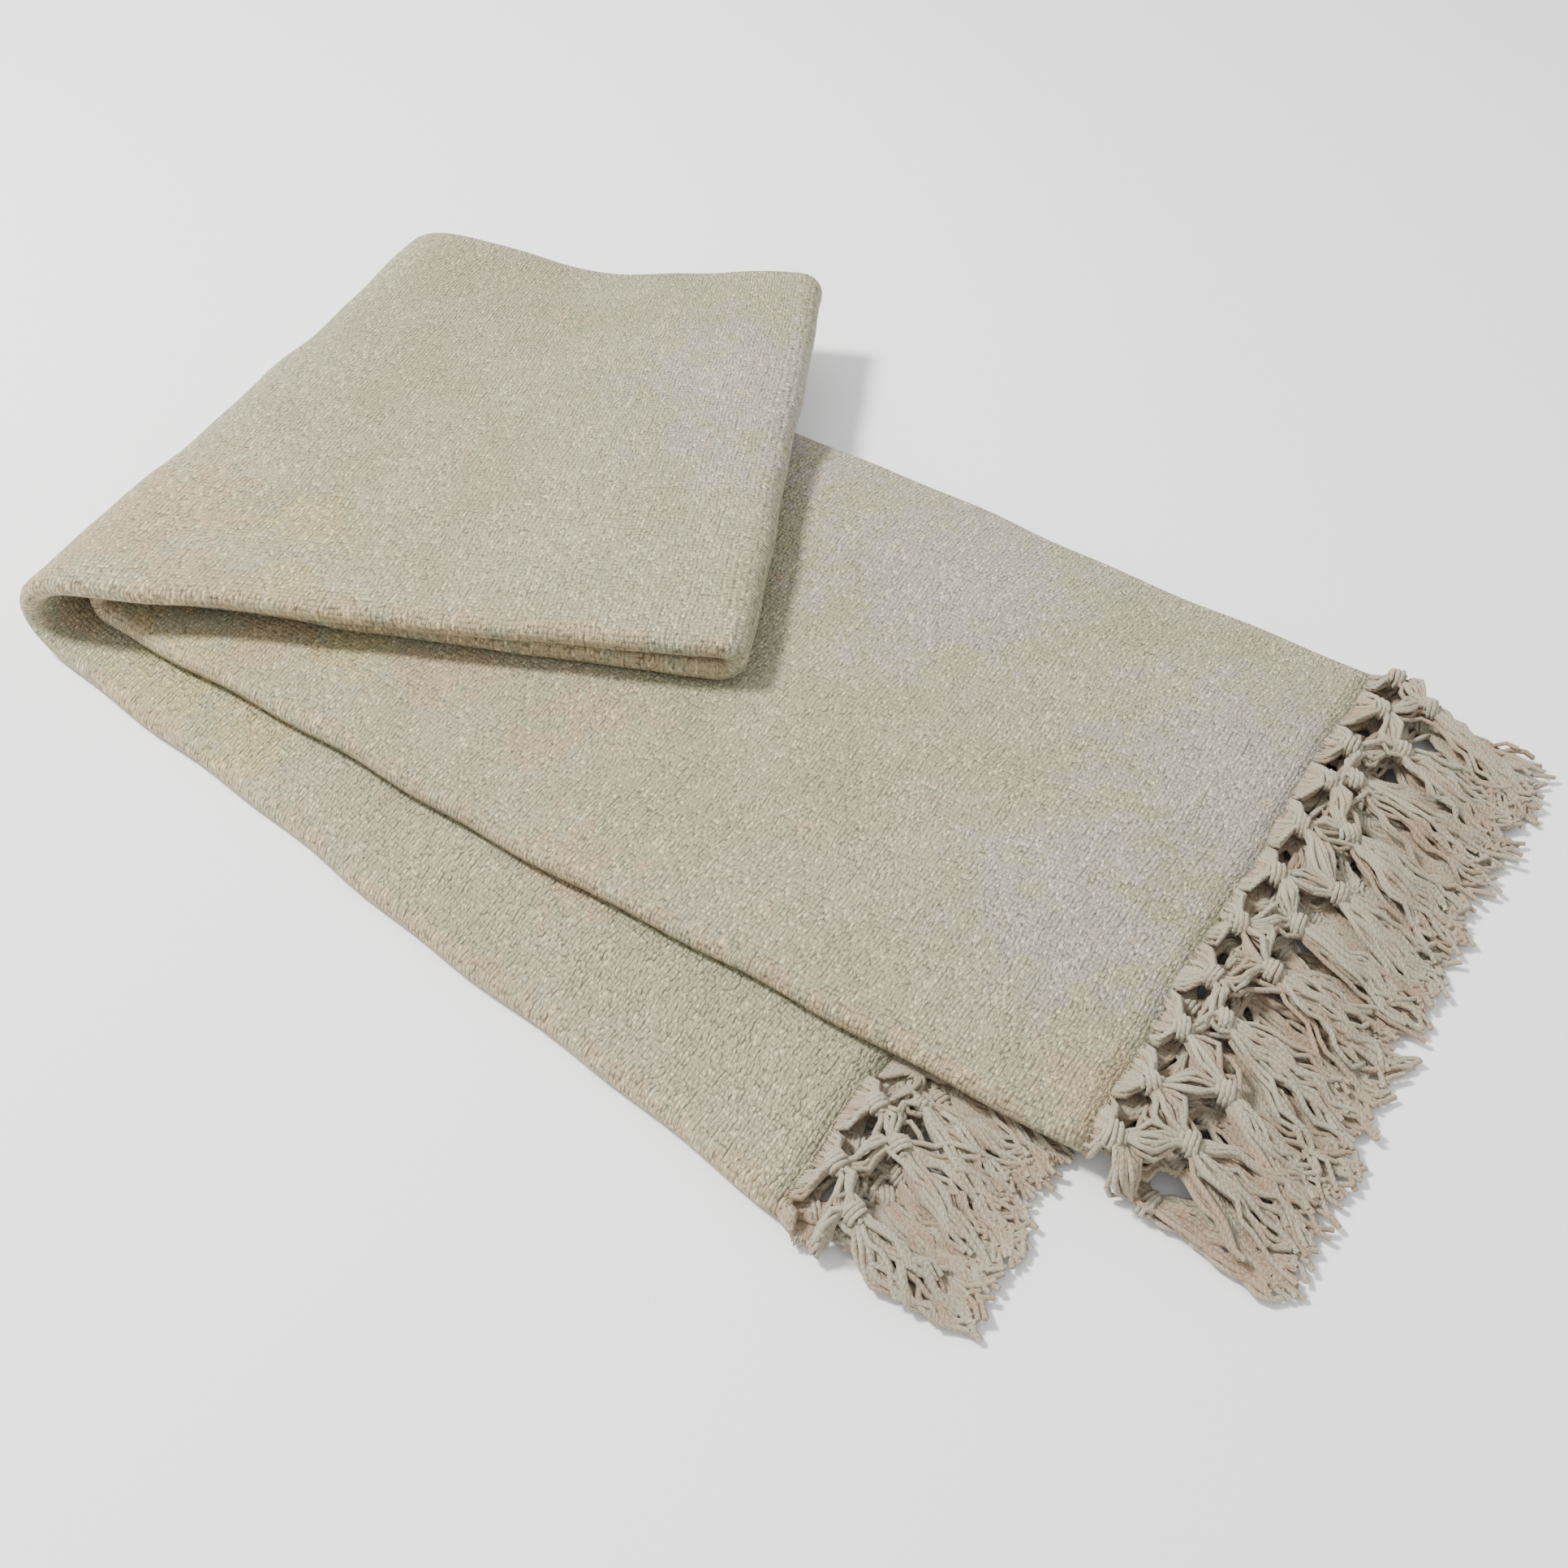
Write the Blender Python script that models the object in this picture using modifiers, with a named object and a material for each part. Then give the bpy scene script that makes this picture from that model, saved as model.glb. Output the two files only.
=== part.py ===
"""Chenille bedspread, folded for display: one woven panel with a knotted fringe at each end.

The panel is folded in half twice along its length, which makes a strip of four layers. The strip is folded
across its middle, and then the doubled strip is turned back over itself as a flap. Metres, +Z up, +X along
the upper run towards its fringe, +Y towards the back, and the origin under the middle of the folded pile.
"""

import math

import bmesh
import bpy
import numpy as np
from mathutils import Matrix

# Driving dimensions of the flat bedspread.
FLAT_WIDTH = 1.30
KNOTS_PER_END = 39

# The cloth and the way its four layers lie in the strip.
CLOTH_THICKNESS = 0.0024
LAYER_STEP = 0.0030
STRIP_THICKNESS = 3 * LAYER_STEP + CLOTH_THICKNESS
OUTER_FOLD_RADIUS = 1.5 * LAYER_STEP
INNER_FOLD_RADIUS = 0.5 * LAYER_STEP
FRONT_FOLD_CENTRE = OUTER_FOLD_RADIUS + CLOTH_THICKNESS / 2
BACK_FOLD_REACH = INNER_FOLD_RADIUS + CLOTH_THICKNESS / 2
SELVEDGE_SETBACK = {"outer": 0.003, "inner": 0.006}
LAYER_STEPS = 6
OUTER_FOLD_STEPS = 6
INNER_FOLD_STEPS = 4

# How the run above sinks to the table past the edge of the run below.
RUN_GAP = 0.0009
SINK_LENGTH = 0.080

# The fringe: it leaves the cloth as a row of knots, spreads, and settles on the table at its tips.
FRINGE_GAP = 0.0005
FOLD_CLEARANCE = 0.0005
KNOT_ROW_LENGTH = 0.006
TOOTH_SHARE = 0.56
FRINGE_THICKNESS = 0.0012
FRINGE_COLUMNS = ("name", "path_end", "length", "tip_squeeze", "front_heading", "back_heading")
FRINGES = [
    ("lower_fringe", "lower_end", 0.078, 0.60, 0.0, -4.0),
    ("upper_fringe", "upper_end", 0.088, 0.90, -7.0, -1.0),
]

HALF = STRIP_THICKNESS / 2

# The middle surface of the strip, followed from the lower end to the upper end. Each row is one place on
# the way: its point on the front edge and on the back edge, then how far the strip swings out in a turn
# before the next row (0 where it lies straight), and the number of steps to the next row. The upper
# run has no heights of its own, as it lies on the run below.
PATH_COLUMNS = ("place", "front", "back", "turn_reach", "steps")
PATH = [
    ("lower_end", (-0.080, -0.0815, HALF), (-0.090, 0.2440, HALF), 0, 4),
    ("lower_turn", (-0.536, -0.0241, HALF), (-0.584, 0.3130, HALF), 0.028, 8),
    ("flap_start", (-0.536, -0.0125, 0.0450), (-0.590, 0.3265, 0.0565), 0, 3),
    ("flap_middle", (-0.400, 0.0540, 0.0425), (-0.500, 0.3680, 0.0390), 0, 3),
    ("flap_turn", (-0.254, 0.1245, 0.0445), (-0.398, 0.4170, 0.0500), 0.009, 6),
    ("under_flap_start", (-0.255, 0.1250, 0.0305), (-0.401, 0.4160, 0.0320), 0, 3),
    ("under_flap_middle", (-0.400, 0.0630, 0.0302), (-0.500, 0.3700, 0.0262), 0, 3),
    ("under_flap_turn", (-0.533, 0.0060, 0.0332), (-0.588, 0.3300, 0.0338), 0.009, 6),
    ("upper_start", (-0.532, 0.0000, 0), (-0.587, 0.3285, 0), 0, 6),
    ("upper_middle", (-0.220, -0.0050, 0), (-0.240, 0.3260, 0), 0, 6),
    ("upper_end", (0.000, 0.0000, 0), (-0.002, 0.3200, 0), 0, 0),
]
EDGE_DROOP = 2.2
TURN_HANDLE = 4 / 3

CREAM = (0.58, 0.55, 0.46, 1.0)
FRINGE_CREAM = (0.60, 0.54, 0.44, 1.0)
CLOTH_ROUGHNESS = 0.9


def column(name):
    """One named column of the path table."""
    at = PATH_COLUMNS.index(name)
    return [row[at] for row in PATH]


FRONT = np.array(column("front"))
BACK = np.array(column("back"))
REACH = column("turn_reach")
STEPS = column("steps")
UPPER_RUN = [row for row, place in enumerate(column("place")) if place.startswith("upper_")]
LOWER_FRINGE = dict(zip(FRINGE_COLUMNS, FRINGES[0]))
LOWER_ALONG = FRONT[0, :2] - FRONT[1, :2]
LOWER_ALONG /= np.linalg.norm(LOWER_ALONG)
LOWER_ACROSS = np.array([-LOWER_ALONG[1], LOWER_ALONG[0]])


def strip_width():
    """The folded strip's width: the flat width, less what the three lengthways folds take up."""
    straight_ends = 4 * FRONT_FOLD_CENTRE + 2 * BACK_FOLD_REACH + sum(SELVEDGE_SETBACK.values())
    arcs = math.pi * (OUTER_FOLD_RADIUS + 2 * INNER_FOLD_RADIUS)
    return (FLAT_WIDTH - arcs + straight_ends) / 4


WIDTH = strip_width()


def smooth(t):
    t = np.clip(t, 0, 1)
    return t * t * (3 - 2 * t)


# Across the strip: the four layers as one line, from one selvedge to the other.


def section_pieces():
    """The folded cross section as straight layers and half circles: kind, length, its start or centre."""
    outer, inner = 1.5 * LAYER_STEP, 0.5 * LAYER_STEP
    back_centre = WIDTH - BACK_FOLD_REACH
    return [
        ("layer", WIDTH - SELVEDGE_SETBACK["outer"], FRONT_FOLD_CENTRE, outer),
        ("front_fold", FRONT_FOLD_CENTRE, OUTER_FOLD_RADIUS, 0.0),
        ("layer", FRONT_FOLD_CENTRE, back_centre, -outer),
        ("back_fold", back_centre, INNER_FOLD_RADIUS, -LAYER_STEP),
        ("layer", back_centre, FRONT_FOLD_CENTRE, -inner),
        ("inner_fold", FRONT_FOLD_CENTRE, INNER_FOLD_RADIUS, 0.0),
        ("layer", FRONT_FOLD_CENTRE, WIDTH - SELVEDGE_SETBACK["inner"], inner),
    ]


def piece_length(piece):
    kind, a, b, _ = piece
    return abs(b - a) if kind == "layer" else math.pi * b


def fold_point(flat):
    """Place in the strip of a point this far from the selvedge of the flat cloth: across, and height."""
    for piece in section_pieces():
        length = piece_length(piece)
        if flat <= length + 1e-9:
            break
        flat -= length
    kind, a, b, height = piece
    share = flat / length
    if kind == "layer":
        return a + (b - a) * share, height
    turn = math.pi * share
    if kind == "front_fold":
        return a - b * math.sin(turn), height + b * math.cos(turn)
    if kind == "back_fold":
        return a + b * math.sin(turn), height - b * math.cos(turn)
    return a - b * math.sin(turn), height - b * math.cos(turn)


def section_stations(layer_steps):
    """Flat distances from the selvedge at which there is a line of points.

    All the layers have their points at the same places across, so that they lie evenly on each other.
    """
    shared = np.linspace(FRONT_FOLD_CENTRE, WIDTH - BACK_FOLD_REACH, layer_steps + 1)[1:-1]
    counts = {"front_fold": OUTER_FOLD_STEPS}
    stations, at = [0.0], 0.0
    for piece in section_pieces():
        kind, start, _, _ = piece
        length = piece_length(piece)
        if kind == "layer":
            steps = sorted(abs(shared - start))
        else:
            count = counts.get(kind, INNER_FOLD_STEPS)
            steps = [length * i / count for i in range(1, count)]
        stations += [at + step for step in [*steps, length]]
        at += length
    return stations


# Along the strip: the middle surface, from the lower end to the upper end.


def lying_height(plan):
    """Height of the upper run at a point: on the lower run or its fringe, and sinking past its back."""
    from_corner = plan - FRONT[0, :2]
    past_end = from_corner @ LOWER_ALONG
    past_back = from_corner @ LOWER_ACROSS - WIDTH
    along_fringe = np.clip(past_end / LOWER_FRINGE["length"], 0, 1)
    support = STRIP_THICKNESS * (1 - (1 - LOWER_FRINGE["tip_squeeze"]) * along_fringe)
    return (HALF + RUN_GAP + support * (1 - smooth(past_back / SINK_LENGTH)))[..., None]


def place_row(row, across):
    """A row's point at a share of the width: edges from the table, and the droop kept near the back."""
    share = (across / WIDTH)[..., None]
    plan = FRONT[row, :2] + (BACK[row, :2] - FRONT[row, :2]) * share
    droop = np.clip(share, 0, 1) ** EDGE_DROOP
    height = FRONT[row, 2] + (BACK[row, 2] - FRONT[row, 2]) * droop
    return np.concatenate([plan, lying_height(plan) if row in UPPER_RUN else height], -1)


def heading(row, across):
    """Unit direction in plan of the straight run that starts at a row."""
    run = place_row(row + 1, across) - place_row(row, across)
    run[..., 2] = 0
    return run / np.linalg.norm(run, axis=-1, keepdims=True)


def middle(progress, across):
    """The middle surface at a progress counted in path rows, and a distance across the strip."""
    across = np.asarray(across, float)
    row = min(int(progress), len(PATH) - 2)
    t = progress - row
    start, end = place_row(row, across), place_row(row + 1, across)
    if REACH[row]:
        handle = REACH[row] * TURN_HANDLE
        way_in = start + heading(row - 1, across) * handle
        way_out = end - heading(row + 1, across) * handle
        return (
            (1 - t) ** 3 * start
            + 3 * t * (1 - t) ** 2 * way_in
            + 3 * t**2 * (1 - t) * way_out
            + t**3 * end
        )
    point = start + (end - start) * t
    point[..., 2] = start[..., 2] + (end[..., 2] - start[..., 2]) * smooth(t)
    if row in UPPER_RUN:
        point[..., 2:] = lying_height(point[..., :2])
    return point


def upward(progress, across):
    """Unit normal of the middle surface: up on the lower run, and so down on the flap."""
    nudge = 1e-3
    before, after = max(progress - nudge, 0), min(progress + nudge, len(PATH) - 1)
    along = middle(after, across) - middle(before, across)
    sideways = middle(progress, across + nudge) - middle(progress, across - nudge)
    normal = np.cross(sideways, along)
    return normal / np.linalg.norm(normal, axis=-1, keepdims=True)


def path_stations():
    """Progress values at which the cloth has a row of points across."""
    stations = [0.0]
    for row, count in enumerate(STEPS[:-1]):
        stations += [row + i / count for i in range(1, count + 1)]
    return stations


def cloth_points(folded):
    """Grid of points on the folded cloth: one row for each path station."""
    across, height = folded[:, 0], folded[:, 1:]
    return np.array([middle(p, across) + upward(p, across) * height for p in path_stations()])


# The fringe: the same section carried on past an end of the strip.


def fringe_stations():
    """Flat distances across a fringe: both sides of each tooth, and the steps of the folds."""
    pitch = FLAT_WIDTH / KNOTS_PER_END
    sides = [
        (knot + 0.5 + side * TOOTH_SHARE / 2) * pitch
        for knot in range(KNOTS_PER_END)
        for side in (-1, 1)
    ]
    folds = [s for s in section_stations(1) if all(abs(s - side) > FOLD_CLEARANCE for side in sides)]
    return sorted([*folds, *sides])


def fringe_points(folded, end, length, tip_squeeze, front_heading, back_heading):
    """Grid of points on a fringe: at the cloth, past its knots and at its tips."""
    across, height = folded[:, 0], folded[:, 1:]
    start, normal = middle(end, across), upward(end, across)
    angle = np.radians(front_heading + (back_heading - front_heading) * across / WIDTH)
    outwards = np.stack([np.cos(angle), np.sin(angle), 0 * angle], -1)
    rows = []
    for reach in (FRINGE_GAP, KNOT_ROW_LENGTH, length):
        settled = max(reach - KNOT_ROW_LENGTH, 0) / (length - KNOT_ROW_LENGTH)
        squeeze = 1 - (1 - tip_squeeze) * settled
        point = start + outwards * reach
        point[:, 2] += (HALF * tip_squeeze - start[:, 2]) * settled
        rows.append(point + normal * height * squeeze)
    return np.array(rows)


def between_teeth(flat):
    """True where a flat distance across the fringe falls between two teeth."""
    pitch = FLAT_WIDTH / KNOTS_PER_END
    return abs(flat / pitch % 1 - 0.5) > TOOTH_SHARE / 2


# Objects.


def material(name, colour):
    made = bpy.data.materials.new(name)
    made.use_nodes = True
    shader = made.node_tree.nodes["Principled BSDF"]
    shader.inputs["Base Color"].default_value = colour
    shader.inputs["Roughness"].default_value = CLOTH_ROUGHNESS
    shader.inputs["Metallic"].default_value = 0
    return made


def folded_sheet(name, points, folded, thickness, finish, collection, open_columns=()):
    """A flat grid laid on the folded points, with Solidify for the cloth's thickness.

    Each square is split from its front corner nearer the start to its back corner nearer the end, so
    that all the layers have the same facets. The open columns are the gaps between a fringe's teeth.
    """
    rows, columns = points.shape[:2]
    grid = bmesh.new()
    made = bmesh.ops.create_grid(grid, x_segments=columns - 1, y_segments=rows - 1, size=0.5)
    ordered = sorted(made["verts"], key=lambda vert: (round(vert.co.y, 5), vert.co.x))
    place = {vert: divmod(rank, columns) for rank, vert in enumerate(ordered)}
    for vert, (row, column_at) in place.items():
        vert.co = points[row, column_at]
    gaps = []
    for face in list(grid.faces):
        row, first = min(place[vert] for vert in face.verts)
        if first in open_columns and 0 < row:
            gaps.append(face)
            continue
        front, back = sorted((first, first + 1), key=lambda c: (folded[c][0], folded[c][1]))
        corners = ordered[row * columns + front], ordered[(row + 1) * columns + back]
        bmesh.utils.face_split(face, *corners)
    bmesh.ops.delete(grid, geom=gaps, context="FACES")
    mesh = bpy.data.meshes.new(name)
    grid.to_mesh(mesh)
    grid.free()
    mesh.materials.append(finish)
    mesh.shade_smooth()
    sheet = bpy.data.objects.new(name, mesh)
    collection.objects.link(sheet)
    shell = sheet.modifiers.new("cloth_thickness", "SOLIDIFY")
    shell.thickness = thickness
    shell.offset = 0
    shell.use_even_offset = True
    return sheet


def fringe(name, path_end, shape, finish, collection):
    end = column("place").index(path_end)
    stations = fringe_stations()
    folded = np.array([fold_point(flat) for flat in stations])
    points = fringe_points(folded, end, *shape)
    open_columns = [
        i for i in range(len(stations) - 1) if between_teeth((stations[i] + stations[i + 1]) / 2)
    ]
    return folded_sheet(name, points, folded, FRINGE_THICKNESS, finish, collection, open_columns)


def centre_on_base(sheets):
    """Moves the sheets together, so that the origin is under the middle of their box."""
    bpy.context.view_layer.update()
    graph = bpy.context.evaluated_depsgraph_get()
    shapes = [sheet.evaluated_get(graph).to_mesh() for sheet in sheets]
    points = np.array([v.co[:] for shape in shapes for v in shape.vertices])
    low, high = points.min(0), points.max(0)
    shift = -(low + high) / 2
    shift[2] = -low[2]
    for sheet in sheets:
        sheet.data.transform(Matrix.Translation(shift))
        sheet.data.update()


def main():
    for old in list(bpy.data.objects):
        bpy.data.objects.remove(old)
    collection = bpy.data.collections.new("chenille_bedspread")
    bpy.context.scene.collection.children.link(collection)
    cloth_finish = material("chenille_cloth", CREAM)
    fringe_finish = material("chenille_fringe", FRINGE_CREAM)
    folded = np.array([fold_point(flat) for flat in section_stations(LAYER_STEPS)])
    points = cloth_points(folded)
    panel = folded_sheet("panel", points, folded, CLOTH_THICKNESS, cloth_finish, collection)
    sheets = [panel] + [
        fringe(name, end, shape, fringe_finish, collection) for name, end, *shape in FRINGES
    ]
    centre_on_base(sheets)


main()
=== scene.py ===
"""A chenille bedspread, folded for display on a pale floor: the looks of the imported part."""

import math

import bpy
import numpy as np
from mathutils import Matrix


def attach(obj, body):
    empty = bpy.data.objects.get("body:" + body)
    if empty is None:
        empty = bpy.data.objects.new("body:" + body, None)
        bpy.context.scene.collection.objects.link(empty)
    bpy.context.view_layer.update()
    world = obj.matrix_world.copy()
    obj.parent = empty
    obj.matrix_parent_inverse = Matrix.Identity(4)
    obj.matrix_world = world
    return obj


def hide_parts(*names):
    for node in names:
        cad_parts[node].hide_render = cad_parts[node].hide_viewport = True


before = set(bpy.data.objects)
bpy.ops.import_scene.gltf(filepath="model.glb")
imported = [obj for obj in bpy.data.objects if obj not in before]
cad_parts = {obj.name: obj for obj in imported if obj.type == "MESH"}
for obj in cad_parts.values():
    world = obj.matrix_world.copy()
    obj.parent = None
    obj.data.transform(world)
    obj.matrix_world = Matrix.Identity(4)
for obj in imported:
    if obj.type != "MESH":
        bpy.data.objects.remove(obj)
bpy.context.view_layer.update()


# The camera stands above the front corner of the fringed end and looks along the bedspread, to its turn
# on the left. The lens is a short portrait one, and the camera leans over by under a degree.
camera = bpy.data.cameras.new("camera")
camera.sensor_width = 36
camera.lens = 39.32
eye = bpy.data.objects.new("camera", camera)
eye.location = (0.3576, -0.5222, 0.5735)
eye.rotation_euler = [math.radians(turn) for turn in (43.715, -0.611, 33.541)]
bpy.context.scene.collection.objects.link(eye)
bpy.context.scene.camera = eye


# The panel: one length of woven chenille cloth, folded in half twice along its length, then across its
# middle, and then turned back over itself. It lies loose, and nothing fixes it.
FLAT_WIDTH = 1.30
CLOTH_THICKNESS = 0.0024
LAYER_STEP = 0.0030
STRIP_THICKNESS = 3 * LAYER_STEP + CLOTH_THICKNESS
OUTER_RADIUS, INNER_RADIUS = 1.5 * LAYER_STEP, 0.5 * LAYER_STEP
FRONT_CENTRE = OUTER_RADIUS + CLOTH_THICKNESS / 2
BACK_REACH = INNER_RADIUS + CLOTH_THICKNESS / 2
HALF = STRIP_THICKNESS / 2
SELVEDGE_SETBACK = {"outer": 0.003, "inner": 0.006}
RUN_GAP = 0.0009
SINK_LENGTH = 0.080
EDGE_DROOP = 2.2
FRINGE_LENGTH = {"lower": 0.078, "upper": 0.088}
TIP_SQUEEZE = {"lower": 0.60, "upper": 0.90}
FRINGE_HEADINGS = {"lower": (0.0, -4.0), "upper": (-7.0, -1.0)}
TURN_HANDLE = 4 / 3
LAYER_STEPS, FOLD_STEPS = 26, 8
WARP_PITCH, WEFT_PITCH = 0.00245, 0.0021

# The strip's middle surface from the lower end to the upper end: a place, its points on the front edge
# and the back edge, how far a turn swings out before the next place, and the steps to the next place.
PATH = [
    ("lower_end", (-0.080, -0.0815, HALF), (-0.090, 0.2440, HALF), 0, 34),
    ("lower_turn", (-0.536, -0.0241, HALF), (-0.584, 0.3130, HALF), 0.028, 18),
    ("flap_start", (-0.536, -0.0125, 0.0450), (-0.590, 0.3265, 0.0565), 0, 12),
    ("flap_middle", (-0.400, 0.0540, 0.0425), (-0.500, 0.3680, 0.0390), 0, 12),
    ("flap_turn", (-0.254, 0.1245, 0.0445), (-0.398, 0.4170, 0.0500), 0.009, 12),
    ("under_flap_start", (-0.255, 0.1250, 0.0305), (-0.401, 0.4160, 0.0320), 0, 10),
    ("under_flap_middle", (-0.400, 0.0630, 0.0302), (-0.500, 0.3700, 0.0262), 0, 10),
    ("under_flap_turn", (-0.533, 0.0060, 0.0332), (-0.588, 0.3300, 0.0338), 0.009, 12),
    ("upper_start", (-0.532, 0.0000, 0), (-0.587, 0.3285, 0), 0, 24),
    ("upper_middle", (-0.220, -0.0050, 0), (-0.240, 0.3260, 0), 0, 20),
    ("upper_end", (0.000, 0.0000, 0), (-0.002, 0.3200, 0), 0, 0),
]
PLACES, FRONT, BACK, REACH, STEPS = (list(values) for values in zip(*PATH))
FRONT, BACK = np.array(FRONT, float), np.array(BACK, float)
UPPER_RUN = [row for row, place in enumerate(PLACES) if place.startswith("upper_")]
LOWER_ALONG = FRONT[0, :2] - FRONT[1, :2]
LOWER_ALONG /= np.linalg.norm(LOWER_ALONG)
LOWER_ACROSS = np.array([-LOWER_ALONG[1], LOWER_ALONG[0]])
FOLDS_TAKE_UP = math.pi * (OUTER_RADIUS + 2 * INNER_RADIUS)
WIDTH = (
    FLAT_WIDTH - FOLDS_TAKE_UP + 4 * FRONT_CENTRE + 2 * BACK_REACH + sum(SELVEDGE_SETBACK.values())
) / 4


def ease(t):
    """0 up to 0, 1 from 1 on, and a soft start and end between them."""
    t = np.clip(t, 0, 1)
    return t * t * (3 - 2 * t)


# The folded cloth in section, from the selvedge on top: each layer with where it starts, where it ends
# and its height, and each fold with its centre, its radius and its height.
SECTION = [
    ("layer", WIDTH - SELVEDGE_SETBACK["outer"], FRONT_CENTRE, OUTER_RADIUS),
    ("front fold", FRONT_CENTRE, OUTER_RADIUS, 0.0),
    ("layer", FRONT_CENTRE, WIDTH - BACK_REACH, -OUTER_RADIUS),
    ("back fold", WIDTH - BACK_REACH, INNER_RADIUS, -LAYER_STEP),
    ("layer", WIDTH - BACK_REACH, FRONT_CENTRE, -INNER_RADIUS),
    ("inner fold", FRONT_CENTRE, INNER_RADIUS, 0.0),
    ("layer", FRONT_CENTRE, WIDTH - SELVEDGE_SETBACK["inner"], INNER_RADIUS),
]


def piece_length(piece):
    """How much flat cloth a layer or a fold takes up."""
    kind, start, end, _ = piece
    return abs(end - start) if kind == "layer" else math.pi * end


def fold_point(flat):
    """Across the strip, height and side of a point this far from the flat cloth's selvedge."""
    for piece in SECTION:
        length = piece_length(piece)
        if flat <= length + 1e-9:
            break
        flat -= length
    kind, start, end, height = piece
    turn = math.pi * flat / length
    if kind == "layer":
        return start + (end - start) * flat / length, height
    if kind == "front fold":
        return start - end * math.sin(turn), height + end * math.cos(turn)
    if kind == "back fold":
        return start + end * math.sin(turn), height - end * math.cos(turn)
    return start - end * math.sin(turn), height - end * math.cos(turn)


def section_stations(layer_steps, fold_steps):
    """Flat distances across the cloth for its lines of points, at like places in all the layers."""
    shared = np.linspace(FRONT_CENTRE, WIDTH - BACK_REACH, layer_steps + 1)[1:-1]
    stations, at = [0.0], 0.0
    for piece in SECTION:
        length = piece_length(piece)
        if piece[0] == "layer":
            steps = sorted(abs(shared - piece[1]))
        else:
            steps = [length * i / fold_steps for i in range(1, fold_steps)]
        stations += [at + step for step in [*steps, length]]
        at += length
    return stations


def lying_height(plan):
    """Height of the upper run: on the lower run or its fringe, and sinking past the back of it."""
    from_corner = plan - FRONT[0, :2]
    past_end = from_corner @ LOWER_ALONG
    past_back = from_corner @ LOWER_ACROSS - WIDTH
    along_fringe = np.clip(past_end / FRINGE_LENGTH["lower"], 0, 1)
    support = STRIP_THICKNESS * (1 - (1 - TIP_SQUEEZE["lower"]) * along_fringe)
    return (HALF + RUN_GAP + support * (1 - ease(past_back / SINK_LENGTH)))[..., None]


def place_row(row, across):
    """Points of the middle surface straight across one place of the path."""
    share = (across / WIDTH)[..., None]
    plan = FRONT[row, :2] + (BACK[row, :2] - FRONT[row, :2]) * share
    height = FRONT[row, 2] + (BACK[row, 2] - FRONT[row, 2]) * np.clip(share, 0, 1) ** EDGE_DROOP
    return np.concatenate([plan, lying_height(plan) if row in UPPER_RUN else height], -1)


def heading(row, across):
    """The way the strip runs from one place of the path to the next, seen from above."""
    run = place_row(row + 1, across) - place_row(row, across)
    run[..., 2] = 0
    return run / np.linalg.norm(run, axis=-1, keepdims=True)


def middle(progress, across):
    """The strip's middle surface at a progress counted in path places, and a distance across."""
    across = np.asarray(across, float)
    row = min(int(progress), len(PATH) - 2)
    t = progress - row
    start, end = place_row(row, across), place_row(row + 1, across)
    if REACH[row]:
        way_in = start + heading(row - 1, across) * REACH[row] * TURN_HANDLE
        way_out = end - heading(row + 1, across) * REACH[row] * TURN_HANDLE
        rest = 1 - t
        return rest**3 * start + 3 * t * rest**2 * way_in + 3 * t**2 * rest * way_out + t**3 * end
    point = start + (end - start) * t
    point[..., 2] = start[..., 2] + (end[..., 2] - start[..., 2]) * ease(t)
    if row in UPPER_RUN:
        point[..., 2:] = lying_height(point[..., :2])
    return point


def upward(progress, across):
    """The middle surface's normal, from two short steps along it and across it."""
    step = 1e-3
    before, after = max(progress - step, 0), min(progress + step, len(PATH) - 1)
    along = middle(after, across) - middle(before, across)
    sideways = middle(progress, across + step) - middle(progress, across - step)
    normal = np.cross(sideways, along)
    return normal / np.linalg.norm(normal, axis=-1, keepdims=True)


def settle(points):
    """The cloth's soft unevenness: long low waves, and edges that wander, the same in every layer."""
    x, y, z = points[..., 0], points[..., 1], points[..., 2]
    floor_layers, wave_height = 0.010, 0.0007
    lifted = ease((z - floor_layers) / 0.012)
    waves = (
        np.sin(34 * x + 21 * y + 1.0) * np.cos(18 * x - 39 * y)
        + 0.6 * np.sin(71 * x - 27 * y + 2.0) * np.cos(64 * y + 13 * x)
        + 0.3 * np.sin(118 * x + 83 * y)
    )
    moved = points.copy()
    moved[..., 2] += wave_height * lifted * waves
    moved[..., 0] += 0.0009 * np.sin(47 * y + 6 * x) + 0.0005 * np.sin(113 * y + 60 * z)
    moved[..., 1] += 0.0011 * np.sin(29 * x + 5 * y + 0.6) + 0.0006 * np.sin(83 * x + 70 * z)
    return moved


# The path starts from the upper run's front corner. This carries it to the part's own middle.
SHIFT = np.array([0.2656, -0.1702, 0.0])
progress = [0.0]
for row, count in enumerate(STEPS[:-1]):
    progress += [row + i / count for i in range(1, count + 1)]
flat_across = np.array(section_stations(LAYER_STEPS, FOLD_STEPS))
folded = np.array([fold_point(flat) for flat in flat_across])
across, height = folded[:, 0], folded[:, 1:]
grid = np.array([middle(p, across) + upward(p, across) * height for p in progress])
flat_along = np.concatenate(
    [[0], np.cumsum(np.linalg.norm(np.diff([middle(p, across) for p in progress], axis=0), axis=2).mean(1))]
)
grid = settle(grid) + SHIFT

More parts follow.
